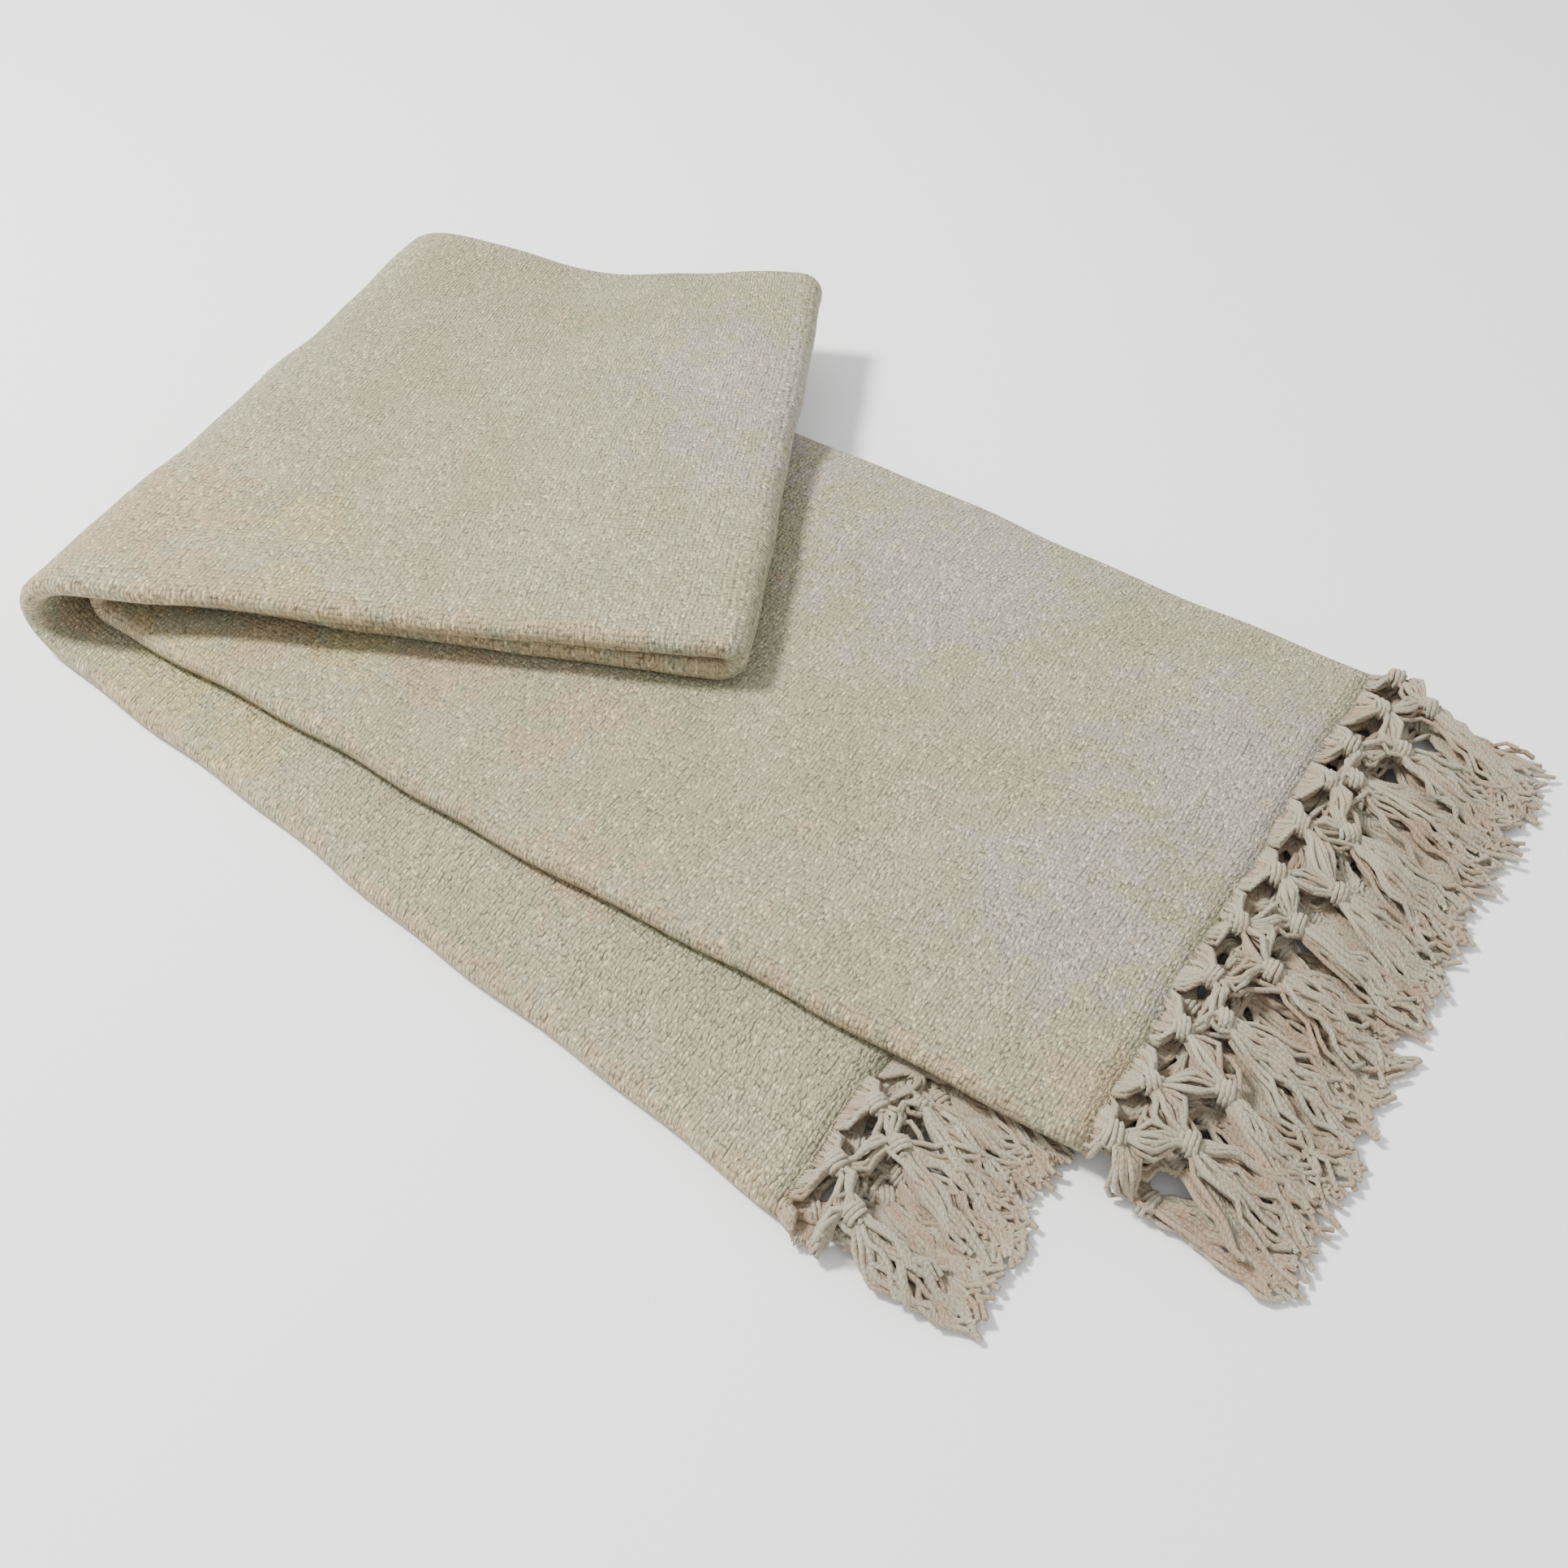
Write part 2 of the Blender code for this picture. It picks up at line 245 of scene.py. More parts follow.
rows, columns = grid.shape[:2]
corners = [(r * columns + c, r * columns + c + 1) for r in range(rows - 1) for c in range(columns - 1)]
panel_mesh = bpy.data.meshes.new("panel_cloth")
panel_mesh.from_pydata(
    grid.reshape(-1, 3).tolist(), [], [(a, b, b + columns, a + columns) for a, b in corners]
)
weave_map = panel_mesh.uv_layers.new(name="flat_cloth")
flat_places = np.stack(np.meshgrid(flat_across, flat_along), -1).reshape(-1, 2)
loop_points = np.empty(len(panel_mesh.loops), int)
panel_mesh.loops.foreach_get("vertex_index", loop_points)
weave_map.data.foreach_set("uv", flat_places[loop_points].ravel())
panel_mesh.shade_smooth()
panel = bpy.data.objects.new("panel_cloth", panel_mesh)
bpy.context.scene.collection.objects.link(panel)
shell = panel.modifiers.new("cloth_thickness", "SOLIDIFY")
shell.thickness = CLOTH_THICKNESS
shell.offset = 0
shell.use_even_offset = True


class Wire:
    """A socket of a material's node tree, on which sums build the nodes that work them out."""

    def __init__(self, tree, socket):
        self.tree, self.socket = tree, socket

    def node(self, kind, values=(), output=0, **settings):
        """Another node: its type, its sockets' values or links, the output wanted, and its settings."""
        made = self.tree.nodes.new(kind)
        for name, setting in settings.items():
            setattr(made, name, setting)
        for place, value in dict(values).items():
            if isinstance(value, Wire):
                self.tree.links.new(value.socket, made.inputs[place])
            else:
                made.inputs[place].default_value = value
        return Wire(self.tree, made.outputs[output])

    def beside(self, output):
        """Another output of the node that this socket is on."""
        return Wire(self.tree, self.socket.node.outputs[output])

    def maths(self, operation, *others):
        return self.node("ShaderNodeMath", enumerate((self, *others)), operation=operation)

    def __add__(self, other):
        return self.maths("ADD", other)

    __radd__ = __add__

    def __sub__(self, other):
        return self.maths("SUBTRACT", other)

    def __rsub__(self, other):
        return self.node("ShaderNodeMath", {0: other, 1: self}, operation="SUBTRACT")

    def __mul__(self, other):
        return self.maths("MULTIPLY", other)

    __rmul__ = __mul__

    def __truediv__(self, other):
        return self.maths("DIVIDE", other)

    def __pow__(self, other):
        return self.maths("POWER", other)

    def between(self, low, high):
        """0 below low, 1 above high, and eased between them."""
        values = {"Value": self, "From Min": low, "From Max": high}
        return self.node("ShaderNodeMapRange", values, interpolation_type="SMOOTHSTEP")

    def mix(self, first, second):
        """A colour between two, with this socket as the share of the second."""
        values = {"Factor": self, 6: first, 7: second}
        return self.node("ShaderNodeMix", values, output=2, data_type="RGBA")

    def times(self, colour):
        """A colour made darker or lighter by this socket."""
        grey = self.node("ShaderNodeCombineXYZ", {0: self, 1: self, 2: self})
        return grey.node("ShaderNodeVectorMath", {0: colour, 1: grey}, operation="MULTIPLY")

    def noise(self, scale, detail=2.0, roughness=0.5):
        values = {"Vector": self, "Scale": scale, "Detail": detail, "Roughness": roughness}
        return self.node("ShaderNodeTexNoise", values)


def new_finish(name, roughness, sheen, sheen_tint):
    """A material with its constant sockets set, and its node tree and shader."""
    finish = bpy.data.materials.new(name)
    finish.use_nodes = True
    tree = finish.node_tree
    shader = tree.nodes["Principled BSDF"]
    shader.inputs["Roughness"].default_value = roughness
    shader.inputs["Sheen Weight"].default_value = sheen
    shader.inputs["Sheen Roughness"].default_value = 0.4
    shader.inputs["Sheen Tint"].default_value = sheen_tint
    shader.inputs["Specular IOR Level"].default_value = 0.3
    return finish, tree, shader


# The weave is plain. The pile of the chenille weft stands up in small uneven tufts over it, with pits
# between them, and painted tints of light lie over the cloth: painted warm light and shade by the turns
# and along the front fold, and a pale painted cool reflection where it lies open.
TUFT_LENGTH, TUFT_WIDTH = 0.0023, 0.0014
CREAM, PALE_CREAM = (0.328, 0.312, 0.198, 1), (0.358, 0.338, 0.228, 1)
PATCH_GRAIN, PATCH_RAGGEDNESS = 46, 3.0
YARN_WANDER = (0.0024, 0.0022)
# Each painted tint of light: its colour, its strength, and the places it is strongest at, with how far it
# reaches.
PAINTED_LIGHT_TINTS = [
    ("cool_reflection", (0.368, 0.340, 0.318, 1), 0.65, [
        ((-0.085, 0.135, 0.052), 0.110),
        ((0.060, 0.090, 0.024), 0.110),
        ((0.245, 0.041, 0.020), 0.110),
        ((0.210, -0.070, 0.020), 0.080),
    ]),
    ("warm_light", (0.392, 0.345, 0.168, 1), 0.80, [
        ((-0.216, -0.185, 0.020), 0.060),
        ((-0.150, -0.200, 0.012), 0.050),
        ((-0.202, -0.085, 0.055), 0.040),
        ((-0.185, -0.130, 0.052), 0.040),
        ((-0.150, -0.125, 0.025), 0.040),
    ]),
    ("warm_light_and_shade", (0.408, 0.308, 0.186, 1), 0.74, [
        ((-0.285, -0.165, 0.028), 0.055),
        ((-0.272, -0.118, 0.060), 0.060),
        ((-0.225, -0.150, 0.056), 0.050),
        ((-0.187, -0.138, 0.030), 0.045),
        ((-0.105, -0.109, 0.025), 0.044),
        ((-0.028, -0.088, 0.024), 0.040),
        ((-0.035, -0.124, 0.024), 0.025),
        ((0.020, -0.170, 0.022), 0.040),
        ((0.261, -0.150, 0.022), 0.040),
        ((0.240, -0.185, 0.022), 0.030),
    ]),
]
chenille, tree, shader = new_finish("chenille_cloth", 0.85, 0.22, (0.93, 0.89, 0.74, 1))
flat_uv = Wire(tree, tree.nodes.new("ShaderNodeUVMap").outputs[0])
flat_uv.socket.node.uv_map = "flat_cloth"
body = Wire(tree, tree.nodes.new("ShaderNodeTexCoord").outputs["Object"])

# The yarns wander a little, so that the weave isn't a perfect grid.
wander = flat_uv.node("ShaderNodeTexNoise", {"Vector": flat_uv, "Scale": 150, "Detail": 2}, output=1)
wander = wander.node("ShaderNodeSeparateXYZ", {0: wander})
uv = flat_uv.node("ShaderNodeSeparateXYZ", {0: flat_uv})
u = uv + (wander - 0.5) * YARN_WANDER[0]
v = uv.beside(1) + (wander.beside(1) - 0.5) * YARN_WANDER[1]

# The plain weave: warp and weft pass over each other by turns, and each is round.
warp_count, weft_count = u / WARP_PITCH, v / WEFT_PITCH
warp_round = (warp_count.maths("FRACT") * math.pi).maths("SINE")
weft_round = (weft_count.maths("FRACT") * math.pi).maths("SINE")
weft_over = (warp_count.maths("FLOOR") + weft_count.maths("FLOOR")).maths("FLOORED_MODULO", 2)
warp_high = warp_round**0.6 * (0.35 + 0.65 * weft_round**0.6)
weft_high = weft_round**0.6 * (0.45 + 0.75 * warp_round**0.5)
woven = warp_high + (weft_high - warp_high) * weft_over

# The pile: tufts that each have a brightness of their own, pits between some, and a painted glint on a few.
tuft_place = u.node("ShaderNodeCombineXYZ", {0: u / TUFT_LENGTH, 1: v / TUFT_WIDTH})
tuft_far = tuft_place.node(
    "ShaderNodeTexVoronoi",
    {"Vector": tuft_place, "Scale": 1.0, "Randomness": 0.85},
    voronoi_dimensions="2D",
)
tuft_own = tuft_far.node("ShaderNodeSeparateXYZ", {0: tuft_far.beside(1)})
bright_own, pit_own = tuft_own, tuft_own.beside(1)
tuft = 1 - tuft_far.between(0.05, 0.85)
pit = tuft_far.between(0.42, 0.72) * pit_own.between(0.35, 0.85)
glint = tuft * bright_own.between(0.84, 0.97)
pile = flat_uv.noise(1500, 3.0, 0.6)
lumps = flat_uv.noise(330, 2.0)

# Slubs: thick places in the yarns, which show as short pale streaks both ways.
slub_across = u.node("ShaderNodeCombineXYZ", {0: u * 30, 1: v * 430}).noise(1.0, 1.5)
slub_along = u.node("ShaderNodeCombineXYZ", {0: u * 380, 1: v * 30}).noise(1.0, 1.5)
slubs = slub_across.between(0.55, 0.78) + 0.7 * slub_along.between(0.57, 0.80)

tufted = tuft * (0.4 + 0.5 * bright_own)
relief = tufted + 0.75 * woven + 0.5 * pile + 0.45 * lumps + 0.3 * slubs - 0.5 * pit

# The colour: cream dye that drifts paler, with the ragged painted tints of light over it, and a faint
# painted shade on the front fold.
drift = flat_uv.noise(17, 3.0, 0.55)
ragged = body.noise(PATCH_GRAIN, 5.0, 0.72) - 0.5
FRONT_FOLD_AT = piece_length(SECTION[0]) + piece_length(SECTION[1]) / 2
by_fold = 1 - (uv - FRONT_FOLD_AT).maths("ABSOLUTE").between(0.004, 0.016)
dye_and_painted_light = drift.between(0.36, 0.64).mix(CREAM, PALE_CREAM)
# Painted light and shade: each tint is laid over the cloth's colour, strongest at its places and ragged at
# its edges. The warm one is painted light and shade by the turns and along the front fold; the cool one is
# a painted reflection where the cloth lies open.
for painted_tint, colour, strength, places in PAINTED_LIGHT_TINTS:
    share = 0.55 * by_fold if painted_tint == "warm_light_and_shade" else None
    for centre, reach in places:
        away = body.node("ShaderNodeVectorMath", {0: body, 1: centre}, output=1, operation="DISTANCE")
        near = 1 - away / reach
        share = near if share is None else share.maths("MAXIMUM", near)
    dye_and_painted_light = ((share + PATCH_RAGGEDNESS * ragged).between(0.28, 0.66) * strength).mix(dye_and_painted_light, colour)
# Painted light and shade: tuft tops and raised yarns are painted lighter, the pits and the weave's hollows
# get painted shade, and a few tufts a painted glint. Each tuft's own brightness, the lumps and the slubs
# are the cloth's own uneven tone.
shade = 0.52 + 0.22 * tuft + 0.28 * bright_own + 0.26 * woven + 0.36 * (pile - 0.5)
shade = shade * (0.88 + 0.24 * lumps) * (1 - 0.50 * pit) + 0.62 * glint + 0.13 * slubs
tree.links.new(shade.times(dye_and_painted_light).socket, shader.inputs["Base Color"])
raised = relief.node("ShaderNodeBump", {"Height": relief, "Strength": 0.8, "Distance": 0.00085})
tree.links.new(raised.socket, shader.inputs["Normal"])
panel_mesh.materials.append(chenille)

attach(panel, "root")
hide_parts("panel")


# The two fringes: the panel's own warp ends, in bunches of chenille yarn. Each bunch is knotted close to
# the cloth, is split between two knots of a second row, and hangs from there as a loose tassel.
KNOTS_IN_A_ROW = 40
YARNS_IN_A_KNOT = 28
YARNS_IN_A_LOCK = 4
YARN_RADIUS, YARN_SIDES = 0.00130, 4
YARN_SPACING, KNOT_SPACING = 0.0056, 0.0035
KINK_SIZE, KINK_AT_CLOTH, KINKS_PER_METRE = 0.0077, 0.25, 120.0
KINK_ROOM = 0.0022
TWISTS_PER_METRE = 420
# The rose is partly painted shade, on the yarns low in a bunch, and partly a random mottle; the cream is
# the yarn's own colour.
ROSE_SHADE_AND_MOTTLE, CREAM_YARN = (0.412, 0.296, 0.200, 1), (0.418, 0.385, 0.288, 1)

# The knots: how far out each row is, how far a knot strays along the cloth and outwards, and its wraps.
FIRST_KNOT, SECOND_KNOT = 0.0078, 0.0285
FIRST_STRAYS, SECOND_STRAYS = (0.0022, 0.0016), (0.0034, 0.0044)
BUNCH_UNEVENNESS = 0.09
END_KNOT_INSET = 0.011
KNOT_RADIUS, KNOT_LIFT = 0.0046, 0.0046
KNOT_WRAPS, KNOT_WRAP_PITCH, KNOT_POINTS = 5, 0.00190, 12
KNOT_LEAN, KNOT_LEAN_VARIES = 0.35, 0.22

# The bunches from the cloth to the knots: how deep a yarn starts in the cloth, the half widths and half
# heights of a bunch inside a knot, beside it and halfway, and how much slacker the inner layers are.
ROOT_DEPTH, ROOT_REACH = 0.0025, 0.0020
HELD_WIDTH, HELD_HEIGHT = 0.0020, 0.0018
PUFF_WIDTH, PUFF_REACH, PUFF_HEIGHT, PUFF_LIFT = 0.0070, 0.0060, 0.0042, 0.0056
MEET_BEFORE, PART_AFTER = 0.0032, 0.0052
NECK_HEIGHT, NECK_LIFT = 0.0024, 0.0046
INNER_FLATTENED, INNER_SLACK, INNER_STEP = 0.55, 2.2, 0.02
OUTER_CLOTH = sum(piece_length(piece) for piece in SECTION[:3])

# The tassels: lengths as shares of the fringe's, how locks spread, swing and wave, and stray yarns.
LOCK_LENGTHS, YARN_LENGTHS = (0.82, 1.03), (0.90, 1.04)
LOCK_SPREAD, LOCK_BOW = 0.0074, 0.0028
TASSEL_SWING, LOCK_SWING = 0.24, 0.08
WAVE_SIZES, WAVE_LENGTHS, WAVE_PHASE_VARIES = (0.0014, 0.0038), (0.014, 0.024), 0.35
STRAY_YARNS, STRAY_REACH = 0.12, 0.0065
TIP_SCATTER, TIP_DROOP, FARTHEST_SIDEWAYS = 0.0026, 0.60, 0.06
TAIL_STEPS = np.array([0.14, 0.28, 0.42, 0.57, 0.72, 0.87, 1.0])
UNDER_RUN_FROM, UNDER_RUN_GAP = -0.012, 0.0015


def yarn_tree():
    """Turns guide lines into soft kinked yarns, and closed ones into the wraps of knots."""
    tree = bpy.data.node_groups.new("chenille_yarns", "GeometryNodeTree")
    face = tree.interface
    for name, kind in [
        ("Guides", "NodeSocketGeometry"),
        ("Yarn radius", "NodeSocketFloat"),
        ("Kink size", "NodeSocketFloat"),
        ("Sides", "NodeSocketInt"),
        ("Finish", "NodeSocketMaterial"),
    ]:
        face.new_socket(name, in_out="INPUT", socket_type=kind)
    face.new_socket("Yarns", in_out="OUTPUT", socket_type="NodeSocketGeometry")
    start, end = tree.nodes.new("NodeGroupInput"), tree.nodes.new("NodeGroupOutput")

    def add(kind, links=(), **settings):
        """A node of the tree: its type, its sockets' values or links, and its settings."""
        made = tree.nodes.new(kind)
        for name, setting in settings.items():
            setattr(made, name, setting)
        for place, value in dict(links).items():
            if isinstance(value, bpy.types.NodeSocket):
                tree.links.new(value, made.inputs[place])
            else:
                made.inputs[place].default_value = value
        return made

    spacing = add("GeometryNodeInputNamedAttribute", {"Name": "spacing"}, data_type="FLOAT")
    lines = add("GeometryNodeMeshToCurve", {"Mesh": start.outputs["Guides"]})
    smooth = add("GeometryNodeCurveSplineType", {"Curve": lines.outputs[0]}, spline_type="CATMULL_ROM")
    even = add(
        "GeometryNodeResampleCurve",
        {"Curve": smooth.outputs[0], "Length": spacing.outputs["Attribute"]},
        mode="LENGTH",
    )
    along = add("GeometryNodeSplineParameter")
    looser = add(
        "ShaderNodeMath",
        {0: along.outputs["Factor"], 1: 1 - KINK_AT_CLOTH, 2: KINK_AT_CLOTH},
        operation="MULTIPLY_ADD",
    )
    size = add(
        "ShaderNodeMath", {0: looser.outputs[0], 1: start.outputs["Kink size"]}, operation="MULTIPLY"
    )
    place = add("GeometryNodeInputPosition")
    kinks = add("ShaderNodeTexNoise", {"Vector": place.outputs[0], "Scale": KINKS_PER_METRE, "Detail": 2.0})
    centred = add(
        "ShaderNodeVectorMath", {0: kinks.outputs["Color"], 1: (0.5, 0.5, 0.5)}, operation="SUBTRACT"
    )
    sized = add(
        "ShaderNodeVectorMath", {0: centred.outputs[0], "Scale": size.outputs[0]}, operation="SCALE"
    )
    kinked = add("GeometryNodeSetPosition", {"Geometry": even.outputs[0], "Offset": sized.outputs[0]})
    kept = add(
        "GeometryNodeStoreNamedAttribute",
        {"Geometry": kinked.outputs[0], "Name": "yarn_along", "Value": along.outputs["Length"]},
        data_type="FLOAT",
        domain="POINT",
    )
    ring = add(
        "GeometryNodeCurvePrimitiveCircle",
        {"Resolution": start.outputs["Sides"], "Radius": start.outputs["Yarn radius"]},
    )
    around = add("GeometryNodeSplineParameter")
    ring_kept = add(
        "GeometryNodeStoreNamedAttribute",
        {"Geometry": ring.outputs[0], "Name": "yarn_around", "Value": around.outputs["Factor"]},
        data_type="FLOAT",
        domain="POINT",
    )
    tubes = add(
        "GeometryNodeCurveToMesh",
        {"Curve": kept.outputs[0], "Profile Curve": ring_kept.outputs[0], "Fill Caps": True},
    )
    soft = add("GeometryNodeSetShadeSmooth", {"Geometry": tubes.outputs[0]})
    real = add("GeometryNodeRealizeInstances", {"Geometry": soft.outputs[0]})
    dyed = add(
        "GeometryNodeSetMaterial", {"Geometry": real.outputs[0], "Material": start.outputs["Finish"]}
    )
    tree.links.new(dyed.outputs[0], end.inputs[0])
    return tree


def fringe_place(end, along_cloth, reach, lift):
    """Where a point of a fringe lies, from how far it is along the edge, out from it and off the face."""
    step = 1e-4
    row = {"lower": 0, "upper": len(PATH) - 1}[end]
    flat = np.clip(along_cloth, 0, FLAT_WIDTH)
    folded = np.array([fold_point(place) for place in flat])
    ahead = np.array([fold_point(place) for place in np.clip(flat + step, 0, FLAT_WIDTH)])
    back = np.array([fold_point(place) for place in np.clip(flat - step, 0, FLAT_WIDTH)])
    along_face = (ahead - back) / np.linalg.norm(ahead - back, axis=1, keepdims=True)
    across, layer = folded[:, 0], folded[:, 1:]
    start, normal = middle(row, across), upward(row, across)
    sideways = (BACK[row] - FRONT[row]) / np.linalg.norm(BACK[row] - FRONT[row])
    first, last = FRINGE_HEADINGS[end]
    angle = np.radians(first + (last - first) * across / WIDTH)
    outwards = np.stack([np.cos(angle), np.sin(angle), 0 * angle], -1)
    settled = np.clip(reach / FRINGE_LENGTH[end], 0, 1)[:, None]
    squeeze = 1 - (1 - TIP_SQUEEZE[end]) * settled
    free = (lift * (1 - INNER_FLATTENED * ease((flat - OUTER_CLOTH) / INNER_STEP)))[:, None]
    point = start + outwards * reach[:, None]
    point[:, 2:] += (HALF * TIP_SQUEEZE[end] - start[:, 2:]) * settled**1.2
    point += normal * (layer * squeeze - free * along_face[:, :1]) + sideways * free * along_face[:, 1:]
    point[:, 2] *= 1 - TIP_DROOP * ease(settled[:, 0] * 2 - 1)
    if end == "lower":
        under_run = point[:, 1] > UNDER_RUN_FROM
        ceiling = lying_height(point[:, :2])[:, 0] - HALF - YARN_RADIUS - UNDER_RUN_GAP
        point[:, 2] = np.where(under_run, np.minimum(point[:, 2], ceiling), point[:, 2])
    return point


def yarn_stations(random, edge_at, knot, target, side, own, lock, length):
    """One yarn's route from inside the cloth to its tip: places along the edge, out from it and up."""
    wide, up = own
    inner = edge_at > OUTER_CLOTH
    slack = wide * (INNER_SLACK if inner else 1)
    fanned = (edge_at - knot[0]) * (1 if inner else 0.5)
    spread, swing, wave, wave_length, phase, bow = lock
    halfway = (knot[0] + target[0]) / 2 + random.normal(0, 0.0012)
    between = (knot[1] + target[1]) / 2
    towards = side - 0.5
    stray = random.normal(0, STRAY_REACH) * (random.random() < STRAY_YARNS)
    inside_cloth = (edge_at, -ROOT_DEPTH, 0.0)
    out_of_cloth = (
        edge_at + 0.10 * (knot[0] - edge_at),
        ROOT_REACH + 0.0008 * slack,
        0.0012 + 0.0012 * up,
    )
    gathered = (knot[0] + 0.84 * fanned, knot[1] - MEET_BEFORE, 0.0036 + 0.0026 * up)
    first_knot = (knot[0] + HELD_WIDTH * slack, knot[1], KNOT_LIFT + HELD_HEIGHT * up)
    parted = (
        knot[0] + towards * 0.0060 + 0.0028 * slack,
        knot[1] + PART_AFTER,
        NECK_LIFT + NECK_HEIGHT * up,
    )
    puffed = (
        halfway + bow + 0.5 * stray + PUFF_WIDTH * slack,
        between - PUFF_REACH * slack * towards,
        PUFF_LIFT + PUFF_HEIGHT * up,
    )
    met = (
        target[0] + stray - towards * 0.0050 + 0.0030 * wide,
        target[1] - PART_AFTER,
        NECK_LIFT + NECK_HEIGHT * up,
    )
    second_knot = (target[0] + stray + HELD_WIDTH * wide, target[1], KNOT_LIFT + HELD_HEIGHT * up)
    held = [inside_cloth, out_of_cloth, gathered, first_knot, parted, puffed, met, second_knot]
    tail = length * random.uniform(*YARN_LENGTHS) - target[1]
    turns = phase + 2 * math.pi * TAIL_STEPS * tail / wave_length
    waved = np.sin(turns + random.normal(0, WAVE_PHASE_VARIES))
    tail_at = (
        target[0]
        + (0.0040 + 0.0036 * TAIL_STEPS) * wide
        + spread * TAIL_STEPS**0.8
        + swing * tail * TAIL_STEPS
        + wave * waved * TAIL_STEPS**0.5
    )
    tail_at[-1] += random.normal(0, TIP_SCATTER)
    tail_up = (0.0040 + 0.0030 * up) * (1 - 0.6 * TAIL_STEPS) + 0.0014 * np.roll(waved, 2) * TAIL_STEPS
    loose = zip(tail_at, target[1] + tail * TAIL_STEPS, tail_up)
    return [np.array(values) for values in zip(*held, *loose)]


def yarn_guides(end, seed):
    """Guide lines for every yarn and knot of one fringe: points, edges, painted light and tone, and point
    spacings.
    """
    random = np.random.default_rng(seed)
    points, edges, painted_lights_and_tones, spacings = [], [], [], []

    def lay(line, painted_light_and_tone, spacing, closed=False):
        """Adds one line of points, joined in a row."""
        first = len(points)
        points.extend(line)
        edges.extend((first + i, first + i + 1) for i in range(len(line) - 1))
        if closed:
            edges.append((first + len(line) - 1, first))
        painted_lights_and_tones.extend([painted_light_and_tone] * len(line))
        spacings.extend([spacing] * len(line))

    bunch_widths = random.normal(1, BUNCH_UNEVENNESS, KNOTS_IN_A_ROW)
    bunch_edges = FLAT_WIDTH * np.concatenate([[0], np.cumsum(bunch_widths)]) / bunch_widths.sum()
    bunch_middles = (bunch_edges[:-1] + bunch_edges[1:]) / 2

    def knot_row(places, reach, strays):
        """Each knot's place along the edge and its distance from it, a little uneven."""
        return [(at + random.normal(0, strays[0]), reach + random.normal(0, strays[1])) for at in places]

    first_row = knot_row(bunch_middles, FIRST_KNOT, FIRST_STRAYS)
    second_row = knot_row(bunch_edges, SECOND_KNOT, SECOND_STRAYS)
    second_row[0] = (END_KNOT_INSET, SECOND_KNOT)
    second_row[-1] = (FLAT_WIDTH - END_KNOT_INSET, SECOND_KNOT)
    swings = random.normal(0, TASSEL_SWING, KNOTS_IN_A_ROW + 1)
    for k, knot in enumerate(first_row):
        for yarn in range(YARNS_IN_A_KNOT):
            share = (yarn + 0.5) / YARNS_IN_A_KNOT - 0.5
            side = int(share > 0)
            target = second_row[k + side]
            if yarn % YARNS_IN_A_LOCK == 0:
                lock_length = FRINGE_LENGTH[end] * random.uniform(*LOCK_LENGTHS)
                lock = (
                    random.normal(0, LOCK_SPREAD),
                    swings[k + side] + random.normal(0, LOCK_SWING),
                    random.uniform(*WAVE_SIZES),
                    random.uniform(*WAVE_LENGTHS),
                    random.uniform(0, 2 * math.pi),
                    random.normal(0, LOCK_BOW),
                )
            own = random.uniform(-1, 1, 2)
            own /= max(1.0, np.hypot(*own))
            edge_at = bunch_edges[k] + (share + 0.5) * (bunch_edges[k + 1] - bunch_edges[k])
            at, out, lift = yarn_stations(random, edge_at, knot, target, side, own, lock, lock_length)
            low, high = target[0] - FARTHEST_SIDEWAYS, target[0] + FARTHEST_SIDEWAYS
            held = np.clip(at, max(low, 0), min(high, FLAT_WIDTH))
            # Painted light and shade: a yarn riding higher in its bunch gets a creamier, brighter value, a
            # lower one a rosier, darker one, with some random tone on top.
            painted_light_and_tone = np.clip(0.45 + 0.36 * own[1] + random.normal(0, 0.12), 0, 1)
            lay(fringe_place(end, held, out, lift), painted_light_and_tone, YARN_SPACING)
    turn = np.linspace(0, 2 * math.pi, KNOT_POINTS, endpoint=False)
    for at, out in [*first_row, *second_row]:
        lean = random.normal(KNOT_LEAN, KNOT_LEAN_VARIES)
        for wrap in range(KNOT_WRAPS):
            along = (wrap - (KNOT_WRAPS - 1) / 2) * KNOT_WRAP_PITCH
            ring = math.sqrt(KNOT_RADIUS**2 - along**2)
            beside = ring * np.cos(turn)
            line = fringe_place(
                end,
                at + along * math.sin(lean) + beside * math.cos(lean),
                out + along * math.cos(lean) - beside * math.sin(lean),
                KNOT_LIFT + ring * np.sin(turn),
            )
            # The knots get a creamier, brighter value: painted light on their tops, with some random tone.
            lay(line, random.uniform(0.65, 1.0), KNOT_SPACING, closed=True)
    points = settle(np.array(points)) + SHIFT
    points[:, 2] = np.maximum(points[:, 2], YARN_RADIUS + KINK_ROOM)
    return points, edges, painted_lights_and_tones, spacings


yarn, tree, shader = new_finish("chenille_yarn", 0.84, 0.30, (0.93, 0.91, 0.84, 1))
body = Wire(tree, tree.nodes.new("ShaderNodeTexCoord").outputs["Object"])
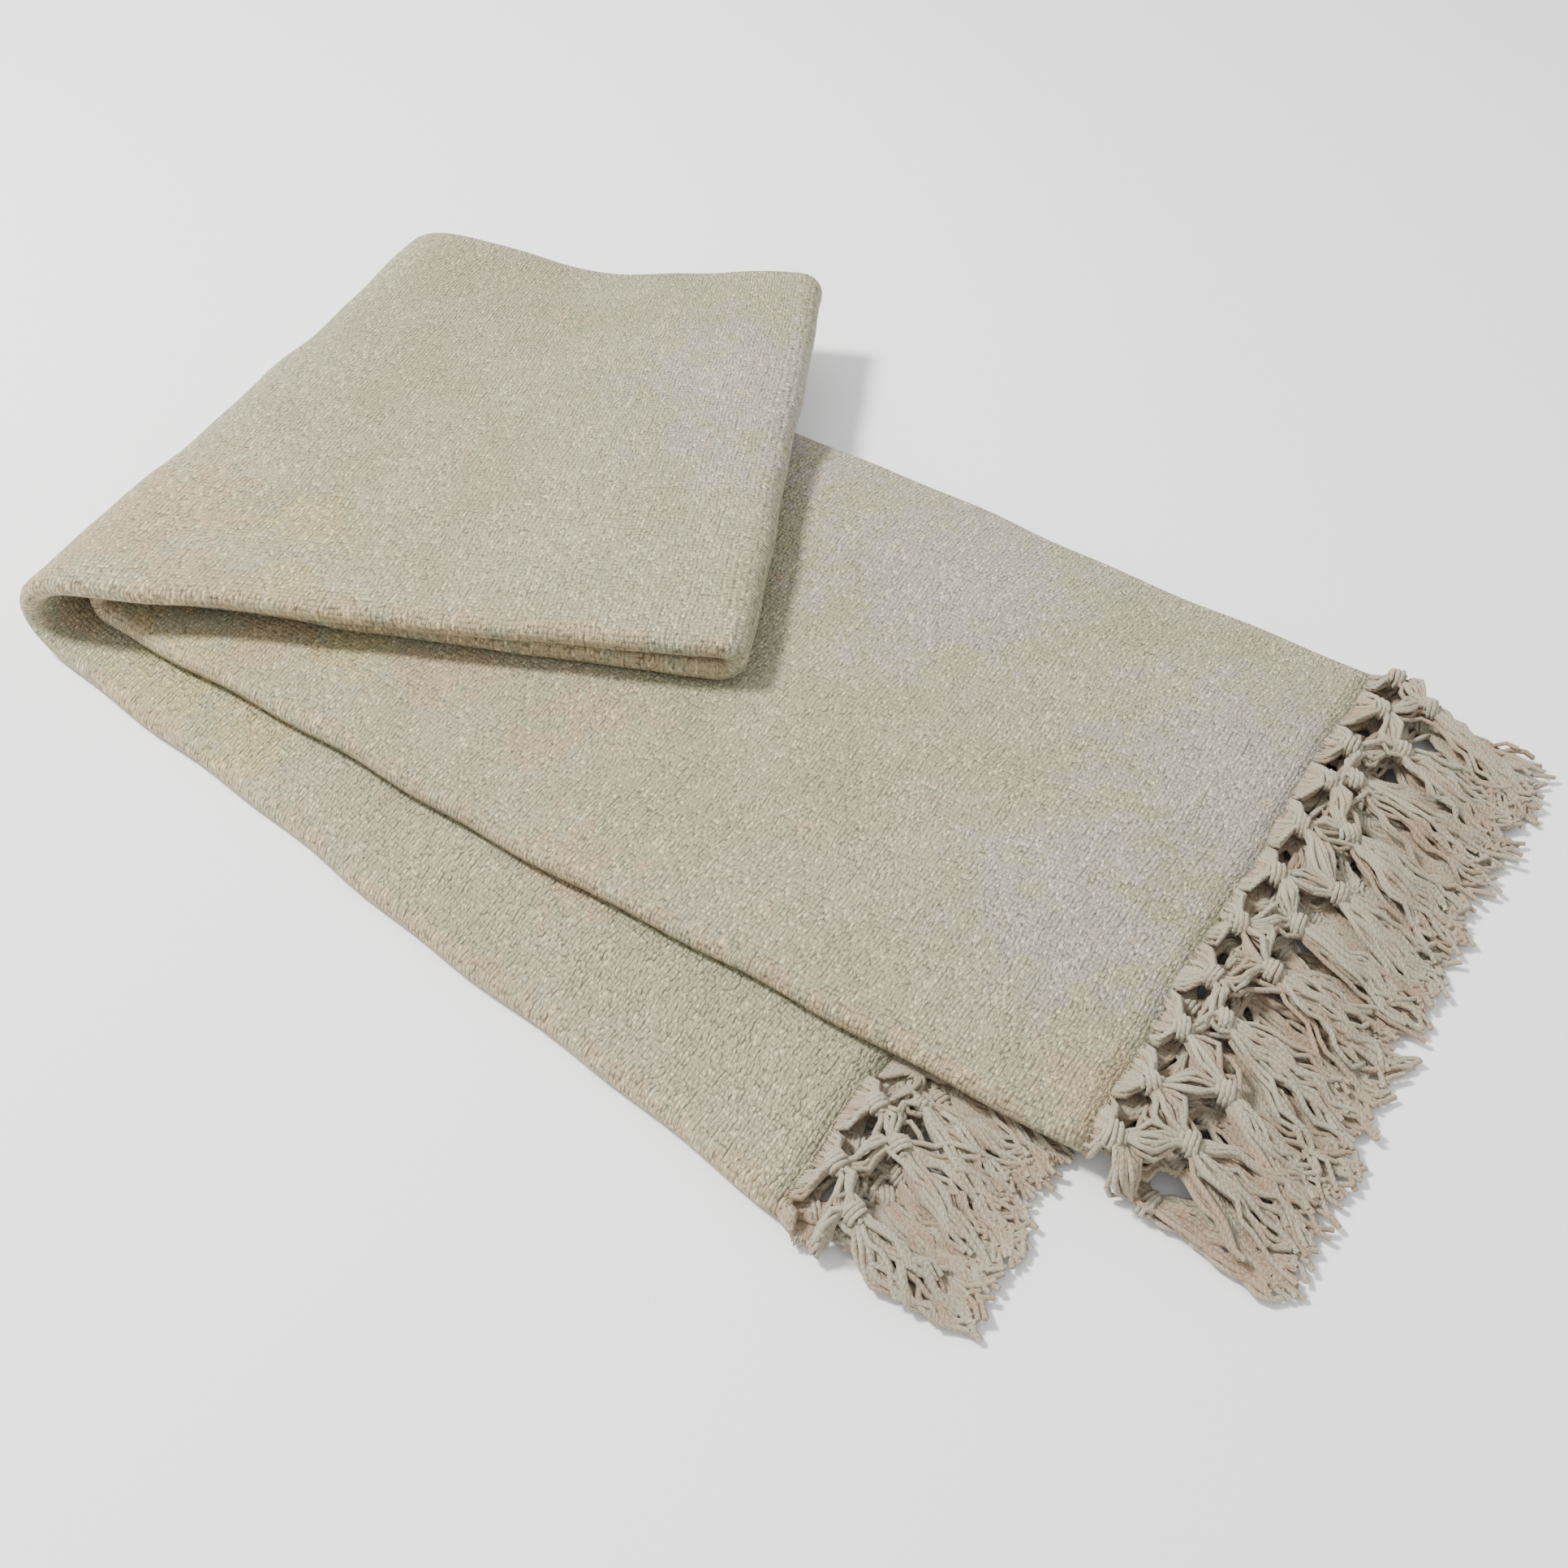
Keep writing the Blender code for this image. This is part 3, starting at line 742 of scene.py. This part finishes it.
# The guides' value carries painted light and shade with some random tone: yarns high in a bunch and the
# knots are painted creamier and brighter, low yarns rosier and darker. The twist's stripes are painted
# shade too; the worn and patch noises are a random mottle.
painted_light_and_tone = body.node("ShaderNodeAttribute", output=2, attribute_name="painted_light_and_tone")
length_along = body.node("ShaderNodeAttribute", output=2, attribute_name="yarn_along")
turn_around = body.node("ShaderNodeAttribute", output=2, attribute_name="yarn_around")
twist = ((length_along * TWISTS_PER_METRE + turn_around) * 2 * math.pi).maths("SINE")
fuzz = body.noise(1700, 3.0, 0.65)
worn = body.noise(150, 3.0, 0.6)
patch = body.noise(38, 2.0)
creamy_and_lit = (0.85 * worn + 0.70 * patch + 0.50 * painted_light_and_tone).between(0.72, 1.26)
dye_and_painted_light = creamy_and_lit.mix(ROSE_SHADE_AND_MOTTLE, CREAM_YARN)
shade = (0.70 + 0.07 * twist + 0.50 * fuzz) * (0.90 + 0.18 * painted_light_and_tone)
tree.links.new(shade.times(dye_and_painted_light).socket, shader.inputs["Base Color"])
relief = 0.28 * twist + 1.5 * fuzz
raised = relief.node("ShaderNodeBump", {"Height": relief, "Strength": 0.8, "Distance": 0.0006})
tree.links.new(raised.socket, shader.inputs["Normal"])

make_yarns = yarn_tree()
for end, seed in (("lower", 73), ("upper", 84)):
    points, edges, painted_lights_and_tones, spacings = yarn_guides(end, seed)
    guide_mesh = bpy.data.meshes.new(f"{end}_fringe_guides")
    guide_mesh.from_pydata(points.tolist(), edges, [])
    guide_mesh.attributes.new("painted_light_and_tone", "FLOAT", "POINT").data.foreach_set("value", painted_lights_and_tones)
    guide_mesh.attributes.new("spacing", "FLOAT", "POINT").data.foreach_set("value", spacings)
    guides = bpy.data.objects.new(f"{end}_fringe_guides", guide_mesh)
    bpy.context.scene.collection.objects.link(guides)
    spin = guides.modifiers.new("yarns", "NODES")
    spin.node_group = make_yarns
    sizes = {"Yarn radius": YARN_RADIUS, "Kink size": KINK_SIZE, "Sides": YARN_SIDES, "Finish": yarn}
    for socket in make_yarns.interface.items_tree:
        if socket.name in sizes:
            spin[socket.identifier] = sizes[socket.name]
    bpy.context.view_layer.update()
    spun = guides.evaluated_get(bpy.context.evaluated_depsgraph_get())
    fringe_mesh = bpy.data.meshes.new_from_object(spun)
    fringe_mesh.name = f"{end}_fringe_yarns"
    fringe_piece = bpy.data.objects.new(f"{end}_fringe_yarns", fringe_mesh)
    bpy.context.scene.collection.objects.link(fringe_piece)
    bpy.data.objects.remove(guides)
    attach(fringe_piece, "root")
    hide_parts(f"{end}_fringe")


# The floor: one wide, pale, matt sheet that the bedspread lies on, just under its lowest points. Only the
# floor is staging.
floor_mesh = bpy.data.meshes.new("floor")
REACH_OF_FLOOR = 6
corner_signs = [(-1, -1), (1, -1), (1, 1), (-1, 1)]
floor_corners = [(x * REACH_OF_FLOOR, y * REACH_OF_FLOOR, 0) for x, y in corner_signs]
floor_mesh.from_pydata(floor_corners, [], [(0, 1, 2, 3)])
floor = bpy.data.objects.new("floor", floor_mesh)
floor.location.z = -0.0002
bpy.context.scene.collection.objects.link(floor)
paint, tree, shader = new_finish("pale_floor", 0.9, 0.0, (1, 1, 1, 1))
shader.inputs["Base Color"].default_value = (0.91, 0.925, 0.95, 1)
floor_mesh.materials.append(paint)


# The light: one round lamp, high on the left and a little in front, which gives short shadows, and an even
# pale sky all round, which fills them.
light = bpy.data.lights.new("window", "AREA")
light.shape = "DISK"
light.size = 0.42
light.energy = 88
light.color = (1.0, 0.975, 0.925)
lamp = bpy.data.objects.new("window", light)
lamp.location = (-1.15, -0.45, 1.75)
lamp.rotation_euler = (-lamp.location).to_track_quat("-Z", "Y").to_euler()
bpy.context.scene.collection.objects.link(lamp)
sky = bpy.data.worlds.new("studio")
sky.use_nodes = True
sky.node_tree.nodes["Background"].inputs["Color"].default_value = (1.0, 0.995, 0.985, 1)
sky.node_tree.nodes["Background"].inputs["Strength"].default_value = 1.10
bpy.context.scene.world = sky
